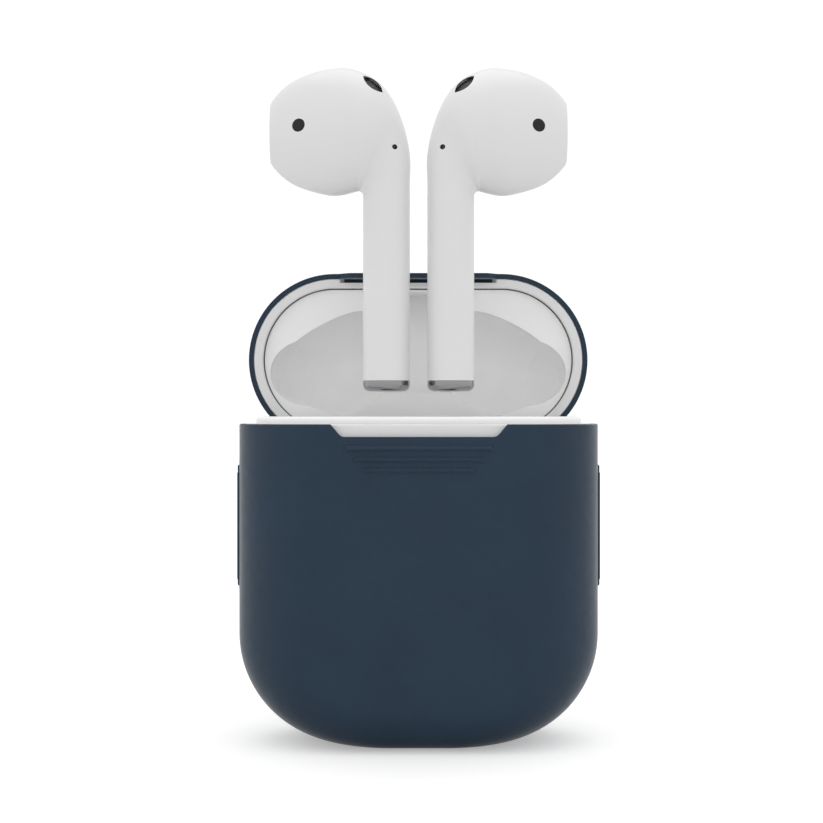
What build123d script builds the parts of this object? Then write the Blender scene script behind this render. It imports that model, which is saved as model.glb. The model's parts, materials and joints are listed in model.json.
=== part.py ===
from build123d import *
from math import acos, cos, radians, sin, sqrt
import os

# Wireless earbuds charging case in a two-part silicone skin, with its two earbuds above it.
# Millimetres, +Z up, the front faces -Y, and the origin is the centre of the flat base.
# The lid is drawn closed and then turned back on its hinge. The left earbud is drawn hovering
# over its well, stem down, and the right one is its mirror image.

# The case in its skin
HALF_WIDTH = 22.8  # X, outside of the skin
HALF_DEPTH = 11.6  # Y, outside of the skin
SEAM = 40.0  # height of the body's top edge
LID_TOP = 54.8  # height of the closed lid's top
CORNER_RADIUS = 13.5  # bottom and top corners, seen from the front
EDGE_RADIUS = 5.1  # the same edges, seen from the side
PEBBLE_STEPS = 12  # sections along a rounded corner
SKIN_WALL = 0.65
SHELL_WALL = 1.3
LID_GAP = 0.15  # between the body's top edge and the closed lid
SHELL_INSET = SKIN_WALL + SHELL_WALL
FRONT = -HALF_DEPTH
SHELL_FRONT = FRONT + SKIN_WALL
SHELL_BACK = HALF_DEPTH - SKIN_WALL

# Hinge: its axis runs along X, just inside the rear face and just below the seam
HINGE_INSET = 1.57
HINGE_Y = HALF_DEPTH - HINGE_INSET
HINGE_Z = SEAM - HINGE_INSET
RELIEF_RADIUS = 1.5  # rear top edge of the body, round about the hinge axis
BARREL_RADIUS = 1.35
PIN_RADIUS = 0.5
HINGE_HALF = 7.9  # half the length of the hinge
LID_KNUCKLE_HALF = 4.8
LEAF_THICKNESS = 0.8
LEAF_FRONT = 8.7  # front face of both leaves when the lid is closed
LEAF_DROP = 7.5  # how far the body leaf reaches below the hinge axis
LEAF_RISE = 9.0  # how far the lid leaf reaches above the seam
HINGE_SLOT_HALF = HINGE_HALF + 0.4
HINGE_SLOT_FRONT = LEAF_FRONT - 0.4
HINGE_SLOT_FLOOR = HINGE_Z - 1.7
SCREW_X = 6.3

# Front notch of the sleeve, filled by the lid's tongue when the lid is closed
NOTCH_TOP_HALF = 10.7
NOTCH_FLOOR_HALF = 9.4
NOTCH_DEPTH = 1.53
NOTCH_FILLET = 0.9
TONGUE_CLEARANCE = 0.12
THUMB_RECESS = 0.55  # depth of the recess in the lid's front edge
THUMB_RISE = 1.8
HOOK_SINK = 1.0  # the skin's hook fills the recess from this far above the seam

# Grip ribs, as half-length and drop of the centre line below the seam
FRONT_RIBS = ((9.0, 2.96), (7.95, 4.29), (6.8, 5.57))
RIB_RADIUS = 0.28
SIDE_RIBS = ((17.1, 1.3), (15.5, 0.0), (13.8, -1.3))  # length, and place along Y
SIDE_RIB_DROP = 12.95

# Inner tray
TRAY_HALF_WIDTH = 20.66
TRAY_HALF_DEPTH = 9.46
TRAY_TOP = SEAM + 0.9
TRAY_FLOOR = 31.5
WELL_WALL = 0.8
LINER_FACE = SEAM + 1.15  # the liner lies this high when the lid is closed
LINER_GAP = 0.12
LINER_INSET = SHELL_INSET + LINER_GAP
# Rounded outer tip of each hollow in the liner, an ellipsoid
TIP_X = 14.7
TIP_Y = 1.7
TIP_RADII = (5.3, 4.5, 7.4)
RIM_FILLET = 0.25

# Earbud, left one
STEM_X = -4.08
STEM_Y = -1.0
STEM_RADIUS = 2.975
STEM_BOTTOM = 44.1
CAP_HEIGHT = 1.36
SEAT_TRAVEL = 35.9  # from hovering down to standing in the well
WELL_CLEARANCE = 0.35
HOLLOW_CLEARANCE = 0.25
BUD_WALL = 0.9
HEAD_Z = 77.27
CROTCH_RADIUS = 0.8
CROTCH_X = STEM_X - STEM_RADIUS - CROTCH_RADIUS
CROTCH_Z = HEAD_Z - 8.42
# Shoulder sections, fanned about the crotch: angle, reach, half-width and place along Y
SHOULDER = (
    (15, 6.98, 3.0, -0.97),
    (30, 7.88, 3.15, -0.87),
    (45, 9.3, 3.55, -0.67),
    (60, 11.4, 4.3, -0.4),
    (72, 13.63, 5.3, -0.35),
    (81, 15.1, 5.95, -0.2),
    (90, 16.12, 6.45, 0.05),
)
# Head sections, square to X: place, half-height, half-width and place along Y
HEAD = (
    (-10.4, 8.1, 6.5, 0.7),
    (-12.6, 7.82, 5.75, 0.93),
    (-14.6, 7.24, 4.85, 1.15),
    (-16.3, 6.46, 3.85, 1.35),
    (-17.7, 5.4, 2.95, 1.55),
    (-18.5, 4.55, 2.45, 1.7),
    (-19.0, 3.85, 2.1, 1.8),
)
FACE_X = HEAD[-1][0]
# Joint between the shell and the ear-side cap: a vertical plane through this point (X, Y)
SPLIT_POINT = (-12.5, 0.9)
SPLIT_ANGLE = 26.8  # of that plane from the X axis, seen from above
GRILLE = (3.35, 1.65)  # half-axes of the speaker's oval mouth
SENSOR = (-15.1, 77.5)
SENSOR_RADIUS = 0.83
MIC = (-3.0, 74.7)
MIC_RADIUS = 0.33
VENT_CENTRE = (-5.75, 82.7)
VENT_LENGTH = 3.3
VENT_WIDTH = 1.35
VENT_TURN = -42
TRIM_DEPTH = 0.4  # thickness of the windows and meshes let into the earbud
VENT_SINK = 0.45
MIC_SINK = 0.2
CAP_EDGE_RADIUS = 0.85
CAP_MESH = (1.5, 0.8)  # half-axes of the oval mesh in the stem's end
CAP_MESH_THICKNESS = 0.35

# Set-up button in the rear wall
BUTTON_Z = 20.0
BUTTON_RADIUS = 3.0
BUTTON_FLANGE = 0.7  # how far the flange reaches beyond the button all round
BUTTON_CLEARANCE = 0.2
BUTTON_SKIN_MARGIN = 1.0  # the hole in the skin is this much larger in radius

# Status light in the front wall
LIGHT_Z = 27.0
LIGHT_RADIUS = 0.9
LIGHT_PIPE_LENGTH = 2.2

# Charge port in the base: lengths and widths of its rounded slots
PORT_SHELL_SLOT = (9.0, 3.2)
PORT_SKIN_SLOT = (11.4, 5.0)
PORT_MOUTH = (8.3, 2.5)
PORT_TONGUE = (6.6, 0.7)
PORT_SOCKET_BASE = 0.75
PORT_SOCKET_HEIGHT = 5.65

# Pieces inside
MAGNET_X = 12.0
MAGNET_HALF_LENGTH = 2.2
MAGNET_Y = (-8.6, -7.3)
MAGNET_HEIGHT = 2.6
BODY_MAGNET_Z = SEAM - 3.4
LID_MAGNET_Z = SEAM + 1.6
CONTACT_RADIUS = 0.45
CONTACT_OFFSET = 1.1  # of each contact pin from the stem's axis
SPRING_HALF = 4.2
SPRING_THICKNESS = 0.12
CELL_X = (9.0, 16.5)
CELL_Y = (-6.2, 5.8)
CELL_Z = (12.0, 30.6)
CELL_FILLET = 1.4
BOARD_HALF_WIDTH = 13.0
BOARD_Y = (6.9, 7.6)
BOARD_Z = (8.5, 30.8)


def block(x_range, y_range, z_range):
    """Box between two values on each axis."""
    lows = [low for low, high in (x_range, y_range, z_range)]
    sizes = [high - low for low, high in (x_range, y_range, z_range)]
    return Pos(*lows) * Box(*sizes, align=(Align.MIN, Align.MIN, Align.MIN))


def rod_x(radius, x_range, y, z):
    """Round bar along X."""
    low, high = x_range
    return Pos((low + high) / 2, y, z) * Rot(0, 90, 0) * Cylinder(radius, high - low)


def rod_y(radius, x, y_range, z):
    """Round bar along Y."""
    low, high = y_range
    return Pos(x, (low + high) / 2, z) * Rot(90, 0, 0) * Cylinder(radius, high - low)


def rod_z(radius, x, y, z_range):
    """Round bar along Z."""
    low, high = z_range
    return Pos(x, y, (low + high) / 2) * Cylinder(radius, high - low)


def front_prism(outline, y_range):
    """Outline drawn in the front view, x to the right and z up, made a prism along Y."""
    low, high = y_range
    plane = Plane(origin=(0, high, 0), x_dir=(1, 0, 0), z_dir=(0, -1, 0))
    return extrude(plane * outline, high - low)


def stadium_prism(half_x, half_y, z_range):
    """Prism with straight sides and round ends, standing on the first height."""
    low, high = z_range
    return Pos(0, 0, low) * extrude(SlotOverall(2 * half_x, 2 * half_y), high - low)


# ---------------------------------------------------------------- forms of the case


def pebble(inset, top):
    """Form of the case with every wall moved in by inset, from its round base up to top."""
    corner = CORNER_RADIUS - inset
    edge = EDGE_RADIUS - inset
    wall_half_y = HALF_DEPTH - inset
    sections = []
    for step in range(PEBBLE_STEPS + 1):
        angle = radians(90 * step / PEBBLE_STEPS)
        rise = corner * (1 - cos(angle))
        half_x = HALF_WIDTH - CORNER_RADIUS + corner * sin(angle)
        half_y = wall_half_y
        if rise < edge:
            half_y = HALF_DEPTH - EDGE_RADIUS + edge * sin(acos(1 - rise / edge))
        sections.append(Pos(0, 0, inset + rise) * SlotOverall(2 * half_x, 2 * half_y))
    wall = stadium_prism(HALF_WIDTH - inset, wall_half_y, (inset + corner, top))
    return loft(sections) + wall


def lid_form(inset):
    """Form of the closed lid, which is the base of the case turned upside down."""
    height = LID_TOP - SEAM - LID_GAP
    return Pos(0, 0, LID_TOP) * mirror(pebble(inset, height), about=Plane.XY)


def rear_relief():
    """What the body's rear top edge loses so that the lid's edge can turn about the hinge."""
    corner = block(
        (-HALF_WIDTH, HALF_WIDTH),
        (HINGE_Y, HALF_DEPTH + 1),
        (HINGE_Z, SEAM + 1),
    )
    return corner - rod_x(RELIEF_RADIUS, (-HALF_WIDTH - 1, HALF_WIDTH + 1), HINGE_Y, HINGE_Z)


def hinge_slot(half_length, z_range):
    """Gap in the rear walls for the hinge."""
    return block((-half_length, half_length), (HINGE_SLOT_FRONT, HALF_DEPTH + 1), z_range)


def notch_outline(clearance):
    """Front notch, seen from the front, made smaller all round by clearance."""
    top_half = NOTCH_TOP_HALF - clearance
    floor_half = NOTCH_FLOOR_HALF - clearance
    floor = SEAM - NOTCH_DEPTH + clearance
    outline = Polygon(
        (-top_half, SEAM + LID_GAP),
        (-top_half, SEAM),
        (-floor_half, floor),
        (floor_half, floor),
        (top_half, SEAM),
        (top_half, SEAM + LID_GAP),
        align=None,
    )
    corners = outline.vertices().group_by(Axis.Y)[0]
    return fillet(corners, NOTCH_FILLET)


def thumb_outline():
    """Thumb recess in the closed lid's front edge, seen from the front."""
    return Polygon(
        (-NOTCH_TOP_HALF, SEAM),
        (NOTCH_TOP_HALF, SEAM),
        (NOTCH_FLOOR_HALF, SEAM + THUMB_RISE),
        (-NOTCH_FLOOR_HALF, SEAM + THUMB_RISE),
        align=None,
    )


def open_lid(piece):
    """Turn a piece of the closed lid back on its hinge by a right angle."""
    return piece.rotate(Axis((0, HINGE_Y, HINGE_Z), (1, 0, 0)), -90)


# ---------------------------------------------------------------- forms of the earbud


def head_plane(x, y, z):
    """Plane square to X, its own x axis pointing up."""
    return Plane(origin=(x, y, z), x_dir=(0, 0, 1), z_dir=(-1, 0, 0))


def oval(plane, half_x, half_y):
    """Elliptical face made of four quarter arcs, with its half-axes along those of the plane."""
    quarters = [
        Edge.make_ellipse(half_x, half_y, plane, start, start + 90) for start in (0, 90, 180, 270)
    ]
    return Face(Wire(quarters))


def bud_form(grow):
    """Left earbud with its surface moved out by grow: a round stem that turns into the head."""
    stem_top = CROTCH_Z - 0.6
    radius = STEM_RADIUS + grow
    sections = []
    for height in (stem_top, CROTCH_Z):
        plane = Plane(origin=(STEM_X, STEM_Y, height), x_dir=(1, 0, 0), z_dir=(0, 0, 1))
        sections.append(oval(plane, radius, radius))
    for angle, reach, half_y, y in SHOULDER:
        middle = (reach + CROTCH_RADIUS) / 2
        across = (cos(radians(angle)), 0, sin(radians(angle)))
        along = (-sin(radians(angle)), 0, cos(radians(angle)))
        centre = (CROTCH_X + middle * across[0], y, CROTCH_Z + middle * across[2])
        plane = Plane(origin=centre, x_dir=across, z_dir=along)
        sections.append(oval(plane, (reach - CROTCH_RADIUS) / 2 + grow, half_y + grow))
    for x, half_z, half_y, y in HEAD[:-1]:
        sections.append(oval(head_plane(x, y, HEAD_Z), half_z + grow, half_y + grow))
    x, half_z, half_y, y = HEAD[-1]
    sections.append(oval(head_plane(x - grow, y, HEAD_Z), half_z + grow, half_y + grow))
    stem = rod_z(radius, STEM_X, STEM_Y, (STEM_BOTTOM - grow, stem_top))
    return loft(sections) + stem


def seated(form):
    """Move an earbud's form from where it hovers down into its well."""
    return Pos(0, 0, -SEAT_TRAVEL) * form


def both_sides(form):
    """A form and its mirror image on the other side of the case."""
    return [form, mirror(form, about=Plane.YZ)]


# ---------------------------------------------------------------- pieces of the body


def charge_port():
    """Port in the base: the slot in the shell, the socket and the wider slot in the skin."""
    shell_slot = Pos(0, 0, -1) * extrude(SlotOverall(*PORT_SHELL_SLOT), 6.8)
    skin_slot = Pos(0, 0, -1) * extrude(SlotOverall(*PORT_SKIN_SLOT), 3)
    tube = Pos(0, 0, PORT_SOCKET_BASE) * extrude(SlotOverall(*PORT_SHELL_SLOT), PORT_SOCKET_HEIGHT)
    mouth = Pos(0, 0, PORT_SOCKET_BASE - 0.05) * extrude(SlotOverall(*PORT_MOUTH), 5.0)
    tongue = Pos(0, 0, PORT_SOCKET_BASE + 0.85) * extrude(Rectangle(*PORT_TONGUE), 4.3)
    return shell_slot, skin_slot, tube - mouth + tongue


def round_bar(length):
    """Grip rib: a bar along Z with round ends, sunk to its middle in the surface."""
    straight = length - 2 * RIB_RADIUS
    bar = Cylinder(RIB_RADIUS, straight)
    for end in (-1, 1):
        bar += Pos(0, 0, end * straight / 2) * Sphere(RIB_RADIUS)
    return bar


def setup_button():
    """Round button in the rear wall, with a flange behind the wall that keeps it in."""
    face = SHELL_BACK - 0.1
    inner_wall = SHELL_BACK - SHELL_WALL
    cap = rod_y(BUTTON_RADIUS, 0, (inner_wall - 0.5, face), BUTTON_Z)
    cap = fillet(cap.edges().group_by(Axis.Y)[-1], 0.3)
    flange = rod_y(BUTTON_RADIUS + BUTTON_FLANGE, 0, (inner_wall - 0.5, inner_wall - 0.1), BUTTON_Z)
    return cap + flange


def skin_body_sleeve():
    """Lower half of the silicone skin."""
    sleeve = pebble(0, SEAM) - pebble(SKIN_WALL, SEAM + 1)
    sleeve = fillet(sleeve.edges().group_by(Axis.Z)[-1], RIM_FILLET)
    for half_length, drop in FRONT_RIBS:
        sleeve += Pos(0, FRONT, SEAM - drop) * Rot(0, 90, 0) * round_bar(2 * half_length)
    for length, y in SIDE_RIBS:
        surface = HALF_WIDTH - HALF_DEPTH + sqrt(HALF_DEPTH**2 - y**2)
        for side in (-1, 1):
            sleeve += Pos(side * surface, y, SEAM - SIDE_RIB_DROP) * round_bar(length)
    sleeve -= front_prism(notch_outline(0), (FRONT - 1, FRONT + 2))
    sleeve -= rear_relief()
    sleeve -= hinge_slot(HINGE_SLOT_HALF + 0.5, (HINGE_SLOT_FLOOR - 0.5, SEAM + 1))
    button_hole = BUTTON_RADIUS + BUTTON_SKIN_MARGIN
    sleeve -= rod_y(button_hole, 0, (SHELL_BACK - 1, HALF_DEPTH + 1), BUTTON_Z)
    return sleeve - charge_port()[1] - pebble(SKIN_WALL, SEAM + 1)


def light_pipe():
    """Clear pin that carries the status light through the front wall."""
    return rod_y(LIGHT_RADIUS, 0, (SHELL_FRONT, SHELL_FRONT + LIGHT_PIPE_LENGTH), LIGHT_Z)


def body_outer_shell():
    """White outer shell of the case's body."""
    shell = pebble(SKIN_WALL, SEAM) - pebble(SHELL_INSET, SEAM + 1)
    shell = fillet(shell.edges().group_by(Axis.Z)[-1], RIM_FILLET)
    shell -= rear_relief()
    shell -= hinge_slot(HINGE_SLOT_HALF, (HINGE_SLOT_FLOOR, SEAM + 1))
    button_hole = BUTTON_RADIUS + BUTTON_CLEARANCE
    shell -= rod_y(button_hole, 0, (SHELL_BACK - 3, HALF_DEPTH), BUTTON_Z)
    shell -= charge_port()[0]
    return shell - light_pipe()


def hinge_screw(x, y, z):
    """Small countersunk screw whose head faces +Y."""
    shank = rod_y(0.45, x, (y - 2.6, y), z)
    head = Pos(x, y - 0.2, z) * Rot(-90, 0, 0) * Cone(0.45, 0.85, 0.4)
    return shank + head


def body_screws():
    """Two screws that hold the body leaf to the tray."""
    height = HINGE_Z - LEAF_DROP + 2.0
    return [hinge_screw(side * SCREW_X, LEAF_FRONT + LEAF_THICKNESS, height) for side in (-1, 1)]


def lid_screws():
    """Two screws that hold the lid leaf to the liner, with the lid closed."""
    height = SEAM + LEAF_RISE - 2.0
    return [hinge_screw(side * SCREW_X, LEAF_FRONT + LEAF_THICKNESS, height) for side in (-1, 1)]


def magnets(height):
    """Two bar magnets behind the front wall, one on each side, standing on the given height."""
    pair = []
    for side in (-1, 1):
        middle = side * MAGNET_X
        ends = (middle - MAGNET_HALF_LENGTH, middle + MAGNET_HALF_LENGTH)
        pair.append(block(ends, MAGNET_Y, (height, height + MAGNET_HEIGHT)))
    return pair


def charge_contacts(side):
    """Two sprung contact pins in the floor of one well."""
    floor = STEM_BOTTOM - SEAT_TRAVEL - WELL_CLEARANCE
    pin_range = (floor - WELL_WALL, floor + 0.25)
    return [
        rod_z(CONTACT_RADIUS, side * -STEM_X + offset, STEM_Y, pin_range)
        for offset in (-CONTACT_OFFSET, CONTACT_OFFSET)
    ]


def inner_tray():
    """Moulded tray with the two wells, the two head cradles and the lip round its top."""
    tray = stadium_prism(TRAY_HALF_WIDTH, TRAY_HALF_DEPTH, (TRAY_FLOOR, TRAY_TOP))
    tray = fillet(tray.edges().group_by(Axis.Z)[-1], 0.45)
    room = bud_form(WELL_CLEARANCE)
    well_floor = STEM_BOTTOM - SEAT_TRAVEL - WELL_CLEARANCE
    for side in (-1, 1):
        tube_range = (well_floor - WELL_WALL, TRAY_FLOOR + 1)
        radius = STEM_RADIUS + WELL_CLEARANCE + WELL_WALL
        tray += rod_z(radius, side * STEM_X, STEM_Y, tube_range)
    way_down = rod_z(
        STEM_RADIUS + WELL_CLEARANCE, STEM_X, STEM_Y, (CROTCH_Z - SEAT_TRAVEL - 1, TRAY_TOP + 1)
    )
    for form in both_sides(seated(room)) + both_sides(way_down):
        tray -= form
    tray -= hinge_slot(HINGE_SLOT_HALF, (HINGE_Z - LEAF_DROP - 0.4, SEAM + 2))
    for piece in body_screws() + magnets(BODY_MAGNET_Z) + charge_contacts(-1) + charge_contacts(1):
        tray -= piece
    return tray


def body_leaf():
    """Hinge leaf on the body, with the two outer knuckles."""
    top = HINGE_Z - BARREL_RADIUS - 0.25
    back = LEAF_FRONT + LEAF_THICKNESS
    leaf = block((-HINGE_HALF, HINGE_HALF), (LEAF_FRONT, back), (HINGE_Z - LEAF_DROP, top))
    for side in (-1, 1):
        ends = sorted((side * (LID_KNUCKLE_HALF + 0.15), side * HINGE_HALF))
        leaf += block(ends, (LEAF_FRONT, back), (top - 0.1, HINGE_Z))
        leaf += rod_x(BARREL_RADIUS, ends, HINGE_Y, HINGE_Z)
    leaf -= rod_x(PIN_RADIUS, (-HINGE_HALF - 1, HINGE_HALF + 1), HINGE_Y, HINGE_Z)
    for screw in body_screws():
        leaf -= screw
    return leaf


def lid_leaf():
    """Hinge leaf on the lid, with the middle knuckle, drawn with the lid closed."""
    back = LEAF_FRONT + LEAF_THICKNESS
    middle = (-LID_KNUCKLE_HALF, LID_KNUCKLE_HALF)
    leaf = block((-HINGE_HALF, HINGE_HALF), (LEAF_FRONT, back), (SEAM + 1.4, SEAM + LEAF_RISE))
    leaf += block(middle, (LEAF_FRONT, back), (HINGE_Z, SEAM + 1.5))
    leaf += rod_x(BARREL_RADIUS, middle, HINGE_Y, HINGE_Z)
    leaf -= rod_x(PIN_RADIUS + 0.03, (-HINGE_HALF, HINGE_HALF), HINGE_Y, HINGE_Z)
    for screw in lid_screws():
        leaf -= screw
    return leaf


def hinge_spring():
    """Flat spring under the barrel that holds the lid open or shut."""
    top = HINGE_Z - BARREL_RADIUS - 0.08
    back = LEAF_FRONT + LEAF_THICKNESS
    across = (-SPRING_HALF, SPRING_HALF)
    upright = block(across, (back, back + SPRING_THICKNESS), (top - 3.5, top))
    tongue = block(across, (back, HINGE_Y + 0.5), (top - SPRING_THICKNESS, top))
    return upright + tongue


def battery_cell(side):
    """Rounded pouch cell at one side of the wells."""
    cell = block(sorted(side * x for x in CELL_X), CELL_Y, CELL_Z)
    return fillet(cell.edges(), CELL_FILLET)


def main_board():
    """Circuit board behind the wells, with two chips on its front."""
    face, back = BOARD_Y
    board = block((-BOARD_HALF_WIDTH, BOARD_HALF_WIDTH), BOARD_Y, BOARD_Z)
    board += block((-10, -5), (face - 0.9, face), (15, 20))
    board += block((4.5, 9.5), (face - 0.8, face), (22, 27))
    return board


def button_switch():
    """Tactile switch on the main board, just behind the set-up button."""
    face, back = BOARD_Y
    base = block((-1.9, 1.9), (back, back + 0.7), (BUTTON_Z - 1.9, BUTTON_Z + 1.9))
    dome = rod_y(0.9, 0, (back + 0.7, back + 1.1), BUTTON_Z)
    return base + dome


def light_board():
    """Small board that carries the status light, which faces the end of the pipe."""
    front = SHELL_FRONT + LIGHT_PIPE_LENGTH + 0.5
    board = block((-4, 4), (front, front + 0.6), (LIGHT_Z - 2.5, LIGHT_Z + 2.5))
    emitter = block((-0.6, 0.6), (front - 0.4, front), (LIGHT_Z - 0.4, LIGHT_Z + 0.4))
    return board + emitter


# ---------------------------------------------------------------- pieces of the lid


def skin_lid_cap():
    """Upper half of the silicone skin, with the tongue that fills the sleeve's notch."""
    cap = lid_form(0) - lid_form(SKIN_WALL)
    wall = stadium_prism(HALF_WIDTH, HALF_DEPTH, (SEAM - 3, SEAM + LID_GAP))
    wall -= stadium_prism(HALF_WIDTH - SKIN_WALL, SHELL_BACK, (SEAM - 3, SEAM + 1))
    tongue = wall & front_prism(notch_outline(TONGUE_CLEARANCE), (FRONT - 1, FRONT + 2))
    hook = front_prism(thumb_outline(), (SHELL_FRONT - 0.05, SHELL_FRONT + THUMB_RECESS))
    hook &= block((-15, 15), (-13, 0), (SEAM + HOOK_SINK, SEAM + THUMB_RISE))
    opening = hinge_slot(HINGE_SLOT_HALF + 0.5, (SEAM, SEAM + 1.9))
    return cap + tongue + hook - opening


def lid_outer_shell():
    """White outer shell of the lid, with the thumb recess in its front edge."""
    shell = lid_form(SKIN_WALL) - lid_form(SHELL_INSET)
    shell = fillet(shell.edges().group_by(Axis.Z)[0], RIM_FILLET)
    shell -= hinge_slot(HINGE_SLOT_HALF, (SEAM, SEAM + 1.4))
    return shell - front_prism(thumb_outline(), (SHELL_FRONT - 0.1, SHELL_FRONT + THUMB_RECESS))


def lid_inner_liner():
    """Moulded lining of the lid, with a hollow for each earbud's head."""
    liner = lid_form(LINER_INSET) & block((-25, 25), (-13, 13), (LINER_FACE, LID_TOP))
    for form in both_sides(seated(bud_form(HOLLOW_CLEARANCE))):
        liner -= form
    for side in (-1, 1):
        liner -= Pos(side * TIP_X, TIP_Y, HEAD_Z - SEAT_TRAVEL) * scale(Sphere(1), TIP_RADII)
    middle = block((-5.2, 5.2), (-9.2, 4.4), (SEAM, SEAM + 8.4))
    liner -= fillet(middle.edges().filter_by(Axis.Z), 1.2)
    pocket_ends = (-HINGE_HALF - 0.2, HINGE_HALF + 0.2)
    liner -= block(pocket_ends, (LEAF_FRONT, 13), (SEAM, SEAM + LEAF_RISE + 0.2))
    for piece in lid_screws() + magnets(LID_MAGNET_Z):
        liner -= piece
    return liner


# ---------------------------------------------------------------- pieces of the left earbud


def let_in(outline, sink):
    """Room for a trim piece in the earbud's front wall, and the piece, sunk below the surface."""
    prism = front_prism(outline, (-12, STEM_Y))
    room = (bud_form(0) - bud_form(-sink - TRIM_DEPTH)) & prism
    piece = room & bud_form(-sink) if sink else room
    return room, piece


def vent_outline():
    """Almond-shaped vent on the shoulder of the head, between two arcs."""
    radius = (VENT_LENGTH**2 + VENT_WIDTH**2) / (4 * VENT_WIDTH)
    shift = radius - VENT_WIDTH / 2
    almond = Pos(0, shift) * Circle(radius) & Pos(0, -shift) * Circle(radius)
    return Pos(*VENT_CENTRE) * Rot(0, 0, VENT_TURN) * almond


def earbud_pieces():
    """Every piece of the left earbud, by name."""
    stem_bottom = STEM_BOTTOM + CAP_HEIGHT
    form = bud_form(0)
    wall = form - bud_form(-BUD_WALL)
    whole_stem = block((-30, 5), (-12, 12), (stem_bottom, 95))
    inside_stem = rod_z(STEM_RADIUS - BUD_WALL, STEM_X, STEM_Y, (STEM_BOTTOM, CROTCH_Z - 6))
    ear_side = Pos(*SPLIT_POINT, 0) * Rot(0, 0, SPLIT_ANGLE) * block(
        (-40, 40), (0, 40), (CROTCH_Z, 95)
    )
    rear = ((wall & whole_stem) - ear_side) - inside_stem
    front = wall & ear_side

    grille_y = HEAD[-1][3]
    grille_plane = head_plane(FACE_X + TRIM_DEPTH + 0.1, grille_y, HEAD_Z)
    grille = extrude(grille_plane * Ellipse(*GRILLE), TRIM_DEPTH)
    grille_hole = extrude(head_plane(FACE_X + 2, grille_y, HEAD_Z) * Ellipse(*GRILLE), 4)
    front -= grille_hole

    sensor_room, sensor = let_in(Pos(*SENSOR) * Circle(SENSOR_RADIUS), 0)
    mic_room, mic = let_in(Pos(*MIC) * Circle(MIC_RADIUS), MIC_SINK)
    vent_room, vent = let_in(vent_outline(), VENT_SINK)
    for room in (sensor_room, mic_room, vent_room):
        rear -= room

    cap = rod_z(STEM_RADIUS, STEM_X, STEM_Y, (STEM_BOTTOM, stem_bottom))
    cap = fillet(cap.edges().group_by(Axis.Z)[0], CAP_EDGE_RADIUS)
    mesh_plane = Plane.XY.offset(STEM_BOTTOM)
    cap_mesh = Pos(STEM_X, STEM_Y, 0) * extrude(mesh_plane * Ellipse(*CAP_MESH), CAP_MESH_THICKNESS)
    cap -= cap_mesh

    driver = rod_x(3.3, (-14.9, -12.6), 1.1, HEAD_Z)
    battery = rod_x(4.4, (-12.0, -8.2), 0.75, HEAD_Z)
    board = block((STEM_X - 1.5, STEM_X + 1.5), (STEM_Y - 0.35, STEM_Y + 0.35), (46.5, 66.0))
    return {
        "shell": rear,
        "front_cap": front,
        "speaker_grille": grille,
        "sensor_window": sensor,
        "mic_mesh": mic,
        "vent_mesh": vent,
        "stem_cap": cap,
        "stem_cap_mesh": cap_mesh,
        "speaker_driver": driver,
        "battery": battery,
        "board": board,
    }


# ---------------------------------------------------------------- all pieces


def all_pieces():
    """Every piece of the object by its name."""
    hinge_pin = rod_x(PIN_RADIUS, (-HINGE_HALF, HINGE_HALF), HINGE_Y, HINGE_Z)
    pieces = {
        "skin_body_sleeve": skin_body_sleeve(),
        "body_outer_shell": body_outer_shell(),
        "inner_tray": inner_tray(),
        "battery_cell_left": battery_cell(-1),
        "battery_cell_right": battery_cell(1),
        "main_board": main_board(),
        "button_switch": button_switch(),
        "setup_button": setup_button(),
        "status_light_board": light_board(),
        "status_light_pipe": light_pipe(),
        "charge_port_socket": charge_port()[2],
        "charge_contacts_left": Compound(charge_contacts(-1)),
        "charge_contacts_right": Compound(charge_contacts(1)),
        "body_magnets": Compound(magnets(BODY_MAGNET_Z)),
        "hinge_body_leaf": body_leaf(),
        "hinge_body_screws": Compound(body_screws()),
        "hinge_spring": hinge_spring(),
        "hinge_pin": hinge_pin,
    }
    lid_pieces = {
        "skin_lid_cap": skin_lid_cap(),
        "lid_outer_shell": lid_outer_shell(),
        "lid_inner_liner": lid_inner_liner(),
        "lid_magnets": Compound(magnets(LID_MAGNET_Z)),
        "hinge_lid_leaf": lid_leaf(),
        "hinge_lid_screws": Compound(lid_screws()),
    }
    for name, piece in lid_pieces.items():
        pieces[name] = open_lid(piece)
    for name, piece in earbud_pieces().items():
        pieces["earbud_left_" + name] = piece
        pieces["earbud_right_" + name] = mirror(piece, about=Plane.YZ)
    return pieces


os.makedirs("parts", exist_ok=True)
for name, piece in all_pieces().items():
    export_step(piece, "parts/" + name + ".step")
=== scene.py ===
import json
from math import radians, tau

import bpy
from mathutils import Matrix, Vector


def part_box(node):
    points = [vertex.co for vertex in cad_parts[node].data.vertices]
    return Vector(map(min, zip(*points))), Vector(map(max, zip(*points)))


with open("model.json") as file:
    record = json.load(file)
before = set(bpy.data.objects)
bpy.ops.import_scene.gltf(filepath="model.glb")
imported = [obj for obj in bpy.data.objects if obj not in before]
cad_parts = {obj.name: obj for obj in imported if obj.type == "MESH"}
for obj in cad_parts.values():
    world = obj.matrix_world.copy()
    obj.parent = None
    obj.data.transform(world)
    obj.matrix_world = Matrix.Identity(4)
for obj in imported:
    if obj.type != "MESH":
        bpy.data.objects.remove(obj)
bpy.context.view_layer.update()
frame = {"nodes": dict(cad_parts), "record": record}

# Wireless earbuds charging case in a silicone skin, lid open, with the two earbuds above it.
# Metres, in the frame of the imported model: +Z up, the front faces -Y.

MM = 0.001
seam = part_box("body_outer_shell")[1].z  # top edge of the case's body

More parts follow.
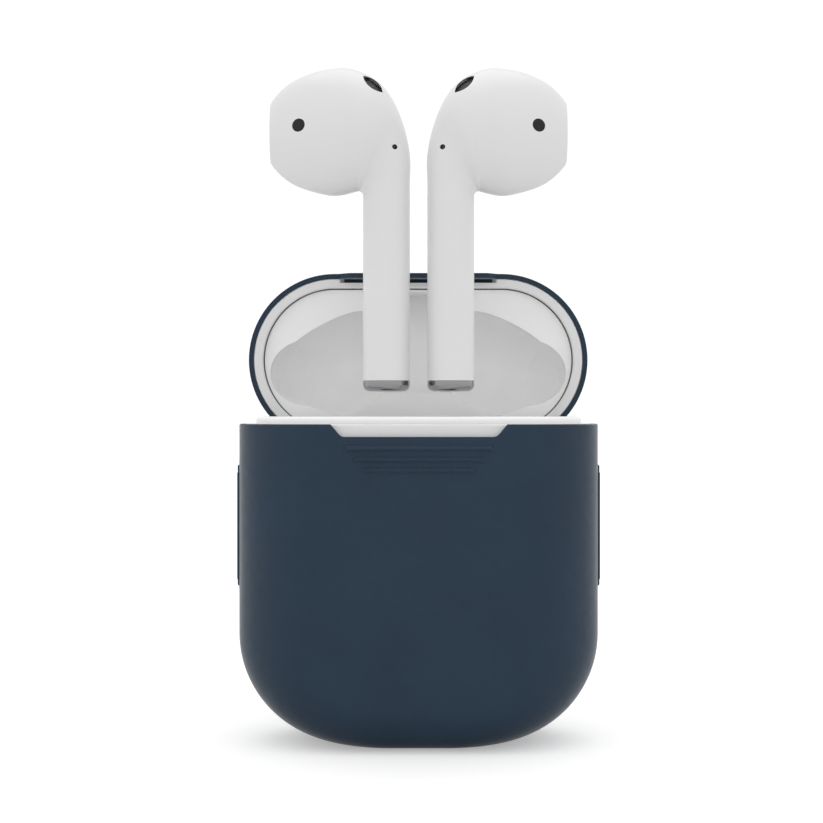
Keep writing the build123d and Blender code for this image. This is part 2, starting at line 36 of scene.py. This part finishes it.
# Camera, level and square to the front
CAMERA_DISTANCE = 212 * MM
CAMERA_RISE = 1.54 * MM  # above the seam
CAMERA_SIDE = -0.9 * MM
LENS = 72.7
SENSOR_WIDTH = 36
CLIP_START = 0.01

# Light and floor
SUN_SPREAD = 60  # degrees across, for soft shadows
SUN_STRENGTH = 0.6
SUN_SLOPE = 12  # degrees by which its rays slope towards the front
AMBIENT = 0.95  # light from all round
BACKGROUND = 1.05  # the same surroundings as the camera sees them, plain white
PAPER_GLOW = (0.0, 0.36)  # light from the paper itself: on the object, and as the camera sees it
PAPER_SHADES = ((0.74, 0.74, 0.74), (0.76, 0.76, 0.76))
PAPER_ROUGHNESS = 0.9
PAPER_CLOUDS = 60  # features per metre
FLOOR_REACH = 3.0

# Scales of surface detail, in features per metre
COLOUR_DRIFT = 90
GLOSS_DRIFT = 700
STREAKS = 3000
FOIL_CRINKLE = 1200
GLASS_DRIFT = 900

COAT_ROUGHNESS = 0.05
STREAK_SHADE = 0.85  # the darker streaks in metal, as a share of its colour
GLASS_SHADE = 1.3  # the lighter parts of a window, as a multiple of its tint
GLASS_ROUGHNESS = (0.12, 0.2)
GLASS_SPECULAR = 0.25
MESH_PITCH = 0.22 * MM
MESH_RELIEF = 0.04 * MM
MESH_METALLIC = 0.6
MESH_ROUGHNESS = 0.45
SILICONE_SPECULAR = 0.3
SILICONE_SHEEN = 0.45
SILICONE_SHEEN_ROUGHNESS = 0.3

# Moulded pieces: colour, the colour it drifts to as a multiple of that, range of roughness,
# grain in features per metre, depth of the grain in millimetres, and clear coat
PLASTICS = {
    "navy_silicone": ((0.011, 0.029, 0.053), 1.12, (0.52, 0.6), 5200, 0.012, 0.0),
    "white_gloss_case": ((0.76, 0.76, 0.765), 0.985, (0.16, 0.22), 2500, 0.002, 0.5),
    "white_satin_lining": ((0.94, 0.935, 0.935), 0.98, (0.3, 0.38), 3500, 0.004, 0.2),
    "white_gloss_earbud": ((0.78, 0.77, 0.772), 0.985, (0.32, 0.38), 2200, 0.002, 0.1),
    "white_button": ((0.84, 0.84, 0.845), 0.98, (0.25, 0.3), 3000, 0.003, 0.3),
    "circuit_board": ((0.02, 0.07, 0.035), 1.4, (0.35, 0.5), 2600, 0.01, 0.0),
    "driver_body": ((0.025, 0.025, 0.027), 1.3, (0.5, 0.6), 2600, 0.01, 0.0),
}

# Metal pieces: colour, range of roughness, how tightly the streaks are drawn along X, Y and Z,
# and streaks per metre
METALS = {
    "polished_steel": ((0.66, 0.66, 0.68), (0.12, 0.22), (1, 12, 12), STREAKS),
    "screw_steel": ((0.5, 0.5, 0.51), (0.25, 0.4), (6, 6, 1), STREAKS),
    "chrome_cap": ((0.34, 0.34, 0.35), (0.14, 0.2), (8, 8, 1), STREAKS),
    "contact_metal": ((0.85, 0.62, 0.3), (0.2, 0.3), (1, 1, 1), STREAKS),
    "socket_metal": ((0.45, 0.45, 0.46), (0.3, 0.4), (1, 1, 8), STREAKS),
    "magnet_metal": ((0.55, 0.55, 0.56), (0.25, 0.35), (1, 1, 1), STREAKS),
    "battery_foil": ((0.6, 0.61, 0.63), (0.3, 0.45), (1, 1, 1), FOIL_CRINKLE),
}

MESH_THREAD = (0.1, 0.1, 0.105)
# Painted shade: the holes between the mesh threads are near black, standing in for the shade
# behind the mesh
MESH_HOLE_SHADE = (0.008, 0.008, 0.009)
GLASSES = {
    "sensor_glass": (0.01, 0.01, 0.012),
    "clear_light_pipe": (0.8, 0.8, 0.8),
}

# ---------------------------------------------------------------- shader helpers


def new_material(name):
    """A node material, its node tree and its shader."""
    material = bpy.data.materials.new(name)
    material.use_nodes = True
    shader = material.node_tree.nodes["Principled BSDF"]
    return material, material.node_tree, shader


def add_node(tree, kind, **inputs):
    """Adds a shader node and sets its inputs by name."""
    node = tree.nodes.new("ShaderNode" + kind)
    for key, value in inputs.items():
        node.inputs[key].default_value = value
    return node


def object_noise(tree, scale, detail=2.0):
    """Noise in the object's own coordinates, with the scale in features per metre."""
    place = tree.nodes.new("ShaderNodeTexCoord")
    noise = add_node(tree, "TexNoise", Scale=scale, Detail=detail)
    tree.links.new(place.outputs["Object"], noise.inputs["Vector"])
    return noise.outputs["Fac"]


def remap(tree, source, low, high, out_low, out_high):
    """Maps a value from one range to another, held at the ends."""
    node = tree.nodes.new("ShaderNodeMapRange")
    tree.links.new(source, node.inputs["Value"])
    values = {"From Min": low, "From Max": high, "To Min": out_low, "To Max": out_high}
    for key, value in values.items():
        node.inputs[key].default_value = value
    return node.outputs["Result"]


def mix_colours(tree, factor, first, second):
    """Colour between two, by a factor that varies over the surface."""
    node = tree.nodes.new("ShaderNodeMix")
    node.data_type = "RGBA"
    tree.links.new(factor, node.inputs["Factor"])
    node.inputs["A"].default_value = (*first, 1)
    node.inputs["B"].default_value = (*second, 1)
    return node.outputs["Result"]


def scaled(colour, factor):
    """A colour multiplied by a factor and held at 1."""
    return tuple(min(1, channel * factor) for channel in colour)


def add_bump(tree, shader, height, distance):
    """Relief from a height value, distance in metres."""
    bump = add_node(tree, "Bump", Strength=1.0, Distance=distance)
    tree.links.new(height, bump.inputs["Height"])
    tree.links.new(bump.outputs["Normal"], shader.inputs["Normal"])


def plastic(name, base, drift, roughness, grain, grain_depth, coat):
    """Moulded plastic or rubber: faint colour drift, uneven gloss and a fine grain."""
    material, tree, shader = new_material(name)
    clouds = remap(tree, object_noise(tree, COLOUR_DRIFT, detail=3), 0.35, 0.65, 0, 1)
    colour = mix_colours(tree, clouds, base, scaled(base, drift))
    tree.links.new(colour, shader.inputs["Base Color"])
    gloss = remap(tree, object_noise(tree, GLOSS_DRIFT), 0.3, 0.7, *roughness)
    tree.links.new(gloss, shader.inputs["Roughness"])
    add_bump(tree, shader, object_noise(tree, grain), grain_depth * MM)
    shader.inputs["Coat Weight"].default_value = coat
    shader.inputs["Coat Roughness"].default_value = COAT_ROUGHNESS
    return material


def metal(name, base, roughness, tightness, streaks):
    """Metal with fine streaks along one direction."""
    material, tree, shader = new_material(name)
    place = tree.nodes.new("ShaderNodeTexCoord")
    stretch = add_node(tree, "Mapping", Scale=tightness)
    noise = add_node(tree, "TexNoise", Scale=streaks, Detail=3.0)
    tree.links.new(place.outputs["Object"], stretch.inputs["Vector"])
    tree.links.new(stretch.outputs["Vector"], noise.inputs["Vector"])
    gloss = remap(tree, noise.outputs["Fac"], 0.3, 0.7, *roughness)
    tree.links.new(gloss, shader.inputs["Roughness"])
    colour = mix_colours(tree, noise.outputs["Fac"], scaled(base, STREAK_SHADE), base)
    tree.links.new(colour, shader.inputs["Base Color"])
    shader.inputs["Metallic"].default_value = 1.0
    return material


def maths(tree, operation, *sources):
    """Result of a maths node on one or two values."""
    node = tree.nodes.new("ShaderNodeMath")
    node.operation = operation
    for place, source in enumerate(sources):
        tree.links.new(source, node.inputs[place])
    return node.outputs[0]


def mesh_cloth(name):
    """Woven metal mesh: three sets of waves that add up to dark holes between threads; the near
    black of the holes is painted shade.
    """
    material, tree, shader = new_material(name)
    place = tree.nodes.new("ShaderNodeTexCoord")
    waves = []
    for direction in ((1, 0, 1), (1, 0, -1), (0, 1, 0)):
        along = tree.nodes.new("ShaderNodeVectorMath")
        along.operation = "DOT_PRODUCT"
        along.inputs[1].default_value = tuple(c * tau / MESH_PITCH for c in direction)
        tree.links.new(place.outputs["Object"], along.inputs[0])
        waves.append(maths(tree, "SINE", along.outputs["Value"]))
    total = maths(tree, "ADD", maths(tree, "ADD", waves[0], waves[1]), waves[2])
    level = remap(tree, total, -0.6, 0.9, 0, 1)
    # Threads in their own dark grey, holes in painted shade
    tree.links.new(mix_colours(tree, level, MESH_HOLE_SHADE, MESH_THREAD), shader.inputs["Base Color"])
    add_bump(tree, shader, level, MESH_RELIEF)
    shader.inputs["Metallic"].default_value = MESH_METALLIC
    shader.inputs["Roughness"].default_value = MESH_ROUGHNESS
    return material


def window_glass(name, tint):
    """Moulded window, dark or clear by its tint."""
    material, tree, shader = new_material(name)
    noise = object_noise(tree, GLASS_DRIFT)
    colour = mix_colours(tree, noise, tint, tuple(c * GLASS_SHADE for c in tint))
    tree.links.new(colour, shader.inputs["Base Color"])
    gloss = remap(tree, noise, 0.3, 0.7, *GLASS_ROUGHNESS)
    tree.links.new(gloss, shader.inputs["Roughness"])
    shader.inputs["Specular IOR Level"].default_value = GLASS_SPECULAR
    return material


def camera_level(tree, to_object, to_camera):
    """One strength for the light that falls on the object and another for what the camera sees."""
    rays = tree.nodes.new("ShaderNodeLightPath")
    return remap(tree, rays.outputs["Is Camera Ray"], 0, 1, to_object, to_camera)


def studio_paper():
    """White studio paper, very slightly uneven, shown brighter to the camera."""
    material, tree, shader = new_material("studio_paper")
    colour = mix_colours(tree, object_noise(tree, PAPER_CLOUDS, detail=4), *PAPER_SHADES)
    tree.links.new(colour, shader.inputs["Base Color"])
    shader.inputs["Roughness"].default_value = PAPER_ROUGHNESS
    shader.inputs["Emission Color"].default_value = (1, 1, 1, 1)
    tree.links.new(camera_level(tree, *PAPER_GLOW), shader.inputs["Emission Strength"])
    return material


# ---------------------------------------------------------------- materials of the pieces

materials = {"dark_mesh": mesh_cloth("dark_mesh")}
for name, finish in PLASTICS.items():
    materials[name] = plastic(name, *finish)
for name, finish in METALS.items():
    materials[name] = metal(name, *finish)
for name, tint in GLASSES.items():
    materials[name] = window_glass(name, tint)

silicone = materials["navy_silicone"].node_tree.nodes["Principled BSDF"]
silicone.inputs["Specular IOR Level"].default_value = SILICONE_SPECULAR
silicone.inputs["Sheen Weight"].default_value = SILICONE_SHEEN
silicone.inputs["Sheen Roughness"].default_value = SILICONE_SHEEN_ROUGHNESS

for entry in frame["record"]["subparts"]:
    node = frame["nodes"][entry["node"]]
    node.data.materials.clear()
    node.data.materials.append(materials[entry["material_slot"]])

# ---------------------------------------------------------------- camera, floor and light


def add_object(name, data):
    """A new object in the scene with the given data."""
    added = bpy.data.objects.new(name, data)
    bpy.context.scene.collection.objects.link(added)
    return added


camera = add_object("camera", bpy.data.cameras.new("camera"))
camera.location = (CAMERA_SIDE, -CAMERA_DISTANCE, seam + CAMERA_RISE)
camera.rotation_euler = (radians(90), 0, 0)
camera.data.lens = LENS
camera.data.sensor_width = SENSOR_WIDTH
camera.data.clip_start = CLIP_START
bpy.context.scene.camera = camera

corners = [(x * FLOOR_REACH, y * FLOOR_REACH, 0) for x, y in ((-1, -1), (1, -1), (1, 1), (-1, 1))]
floor_mesh = bpy.data.meshes.new("studio_floor")
floor_mesh.from_pydata(corners, [], [(0, 1, 2, 3)])
floor_mesh.materials.append(studio_paper())
add_object("studio_floor", floor_mesh)

sun = add_object("overhead_light", bpy.data.lights.new("overhead_light", "SUN"))
sun.data.angle = radians(SUN_SPREAD)
sun.data.energy = SUN_STRENGTH
sun.rotation_euler = (radians(-SUN_SLOPE), 0, 0)

world = bpy.data.worlds.new("studio_world")
world.use_nodes = True
tree = world.node_tree
background = tree.nodes["Background"]
background.inputs["Color"].default_value = (1, 1, 1, 1)
tree.links.new(camera_level(tree, AMBIENT, BACKGROUND), background.inputs["Strength"])
bpy.context.scene.world = world
bpy.context.scene.view_settings.view_transform = "Standard"
